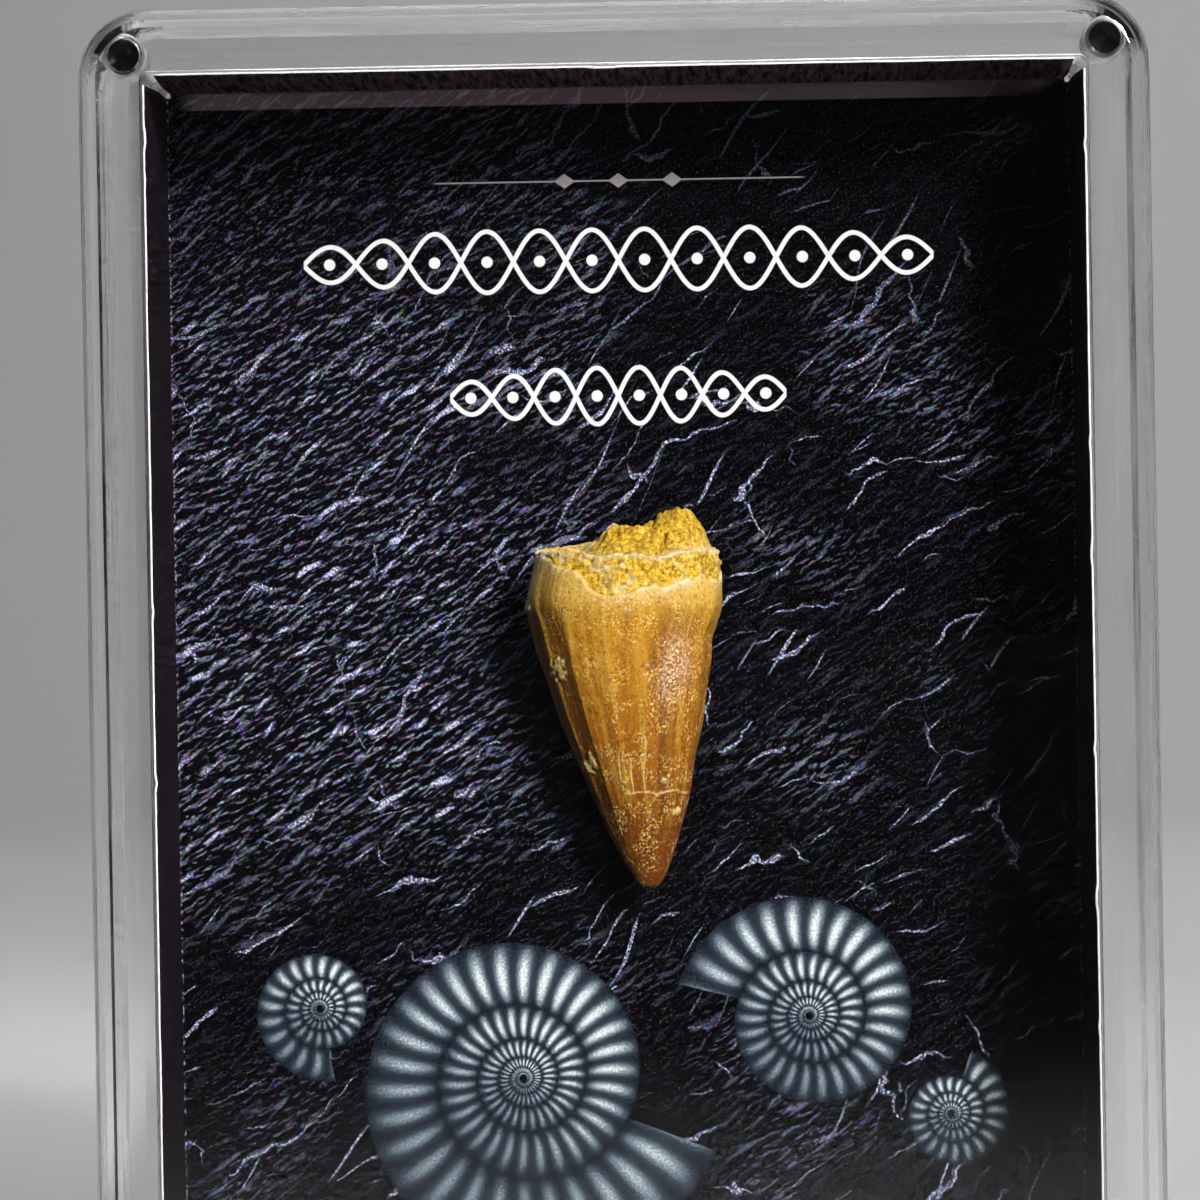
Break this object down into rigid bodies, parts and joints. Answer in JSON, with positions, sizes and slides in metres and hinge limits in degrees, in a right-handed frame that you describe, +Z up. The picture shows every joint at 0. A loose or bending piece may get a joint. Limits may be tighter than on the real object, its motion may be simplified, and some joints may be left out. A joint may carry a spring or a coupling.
{
  "type": "fossil mosasaur tooth",
  "caption": "Fossil marine-reptile tooth with sandy matrix, fixed tip down on a folded printed card in a clear upright case whose halves are held together by corner magnets.",
  "frame": {"origin": "middle of the case's underside, where it stands", "axes": "+Z up, -Y the way the front window and the tooth face, +X to the right seen from the front"},
  "size_m": [0.084, 0.0254, 0.108],
  "materials": {
    "clear_acrylic": "clear, polished, with finely machined side walls",
    "printed_card": "black slate print with a satin varnish, white cut edges",
    "fossil_enamel": "semi-gloss amber enamel, brown at the tip, with ochre sandy matrix at the broken root",
    "mounting_putty": "matt, soft, off-white",
    "nickel": "bright nickel plating with turned end faces"
  },
  "bodies": {
    "root": {"front_cover": "clear_acrylic", "back_cover": "clear_acrylic", "card_tray": "printed_card", "tooth": "fossil_enamel", "mounting_pad": "mounting_putty", "magnet_front_lower_left": "nickel", "magnet_front_lower_right": "nickel", "magnet_front_upper_left": "nickel", "magnet_front_upper_right": "nickel", "magnet_back_lower_left": "nickel", "magnet_back_lower_right": "nickel", "magnet_back_upper_left": "nickel", "magnet_back_upper_right": "nickel"}
  },
  "joints": []
}
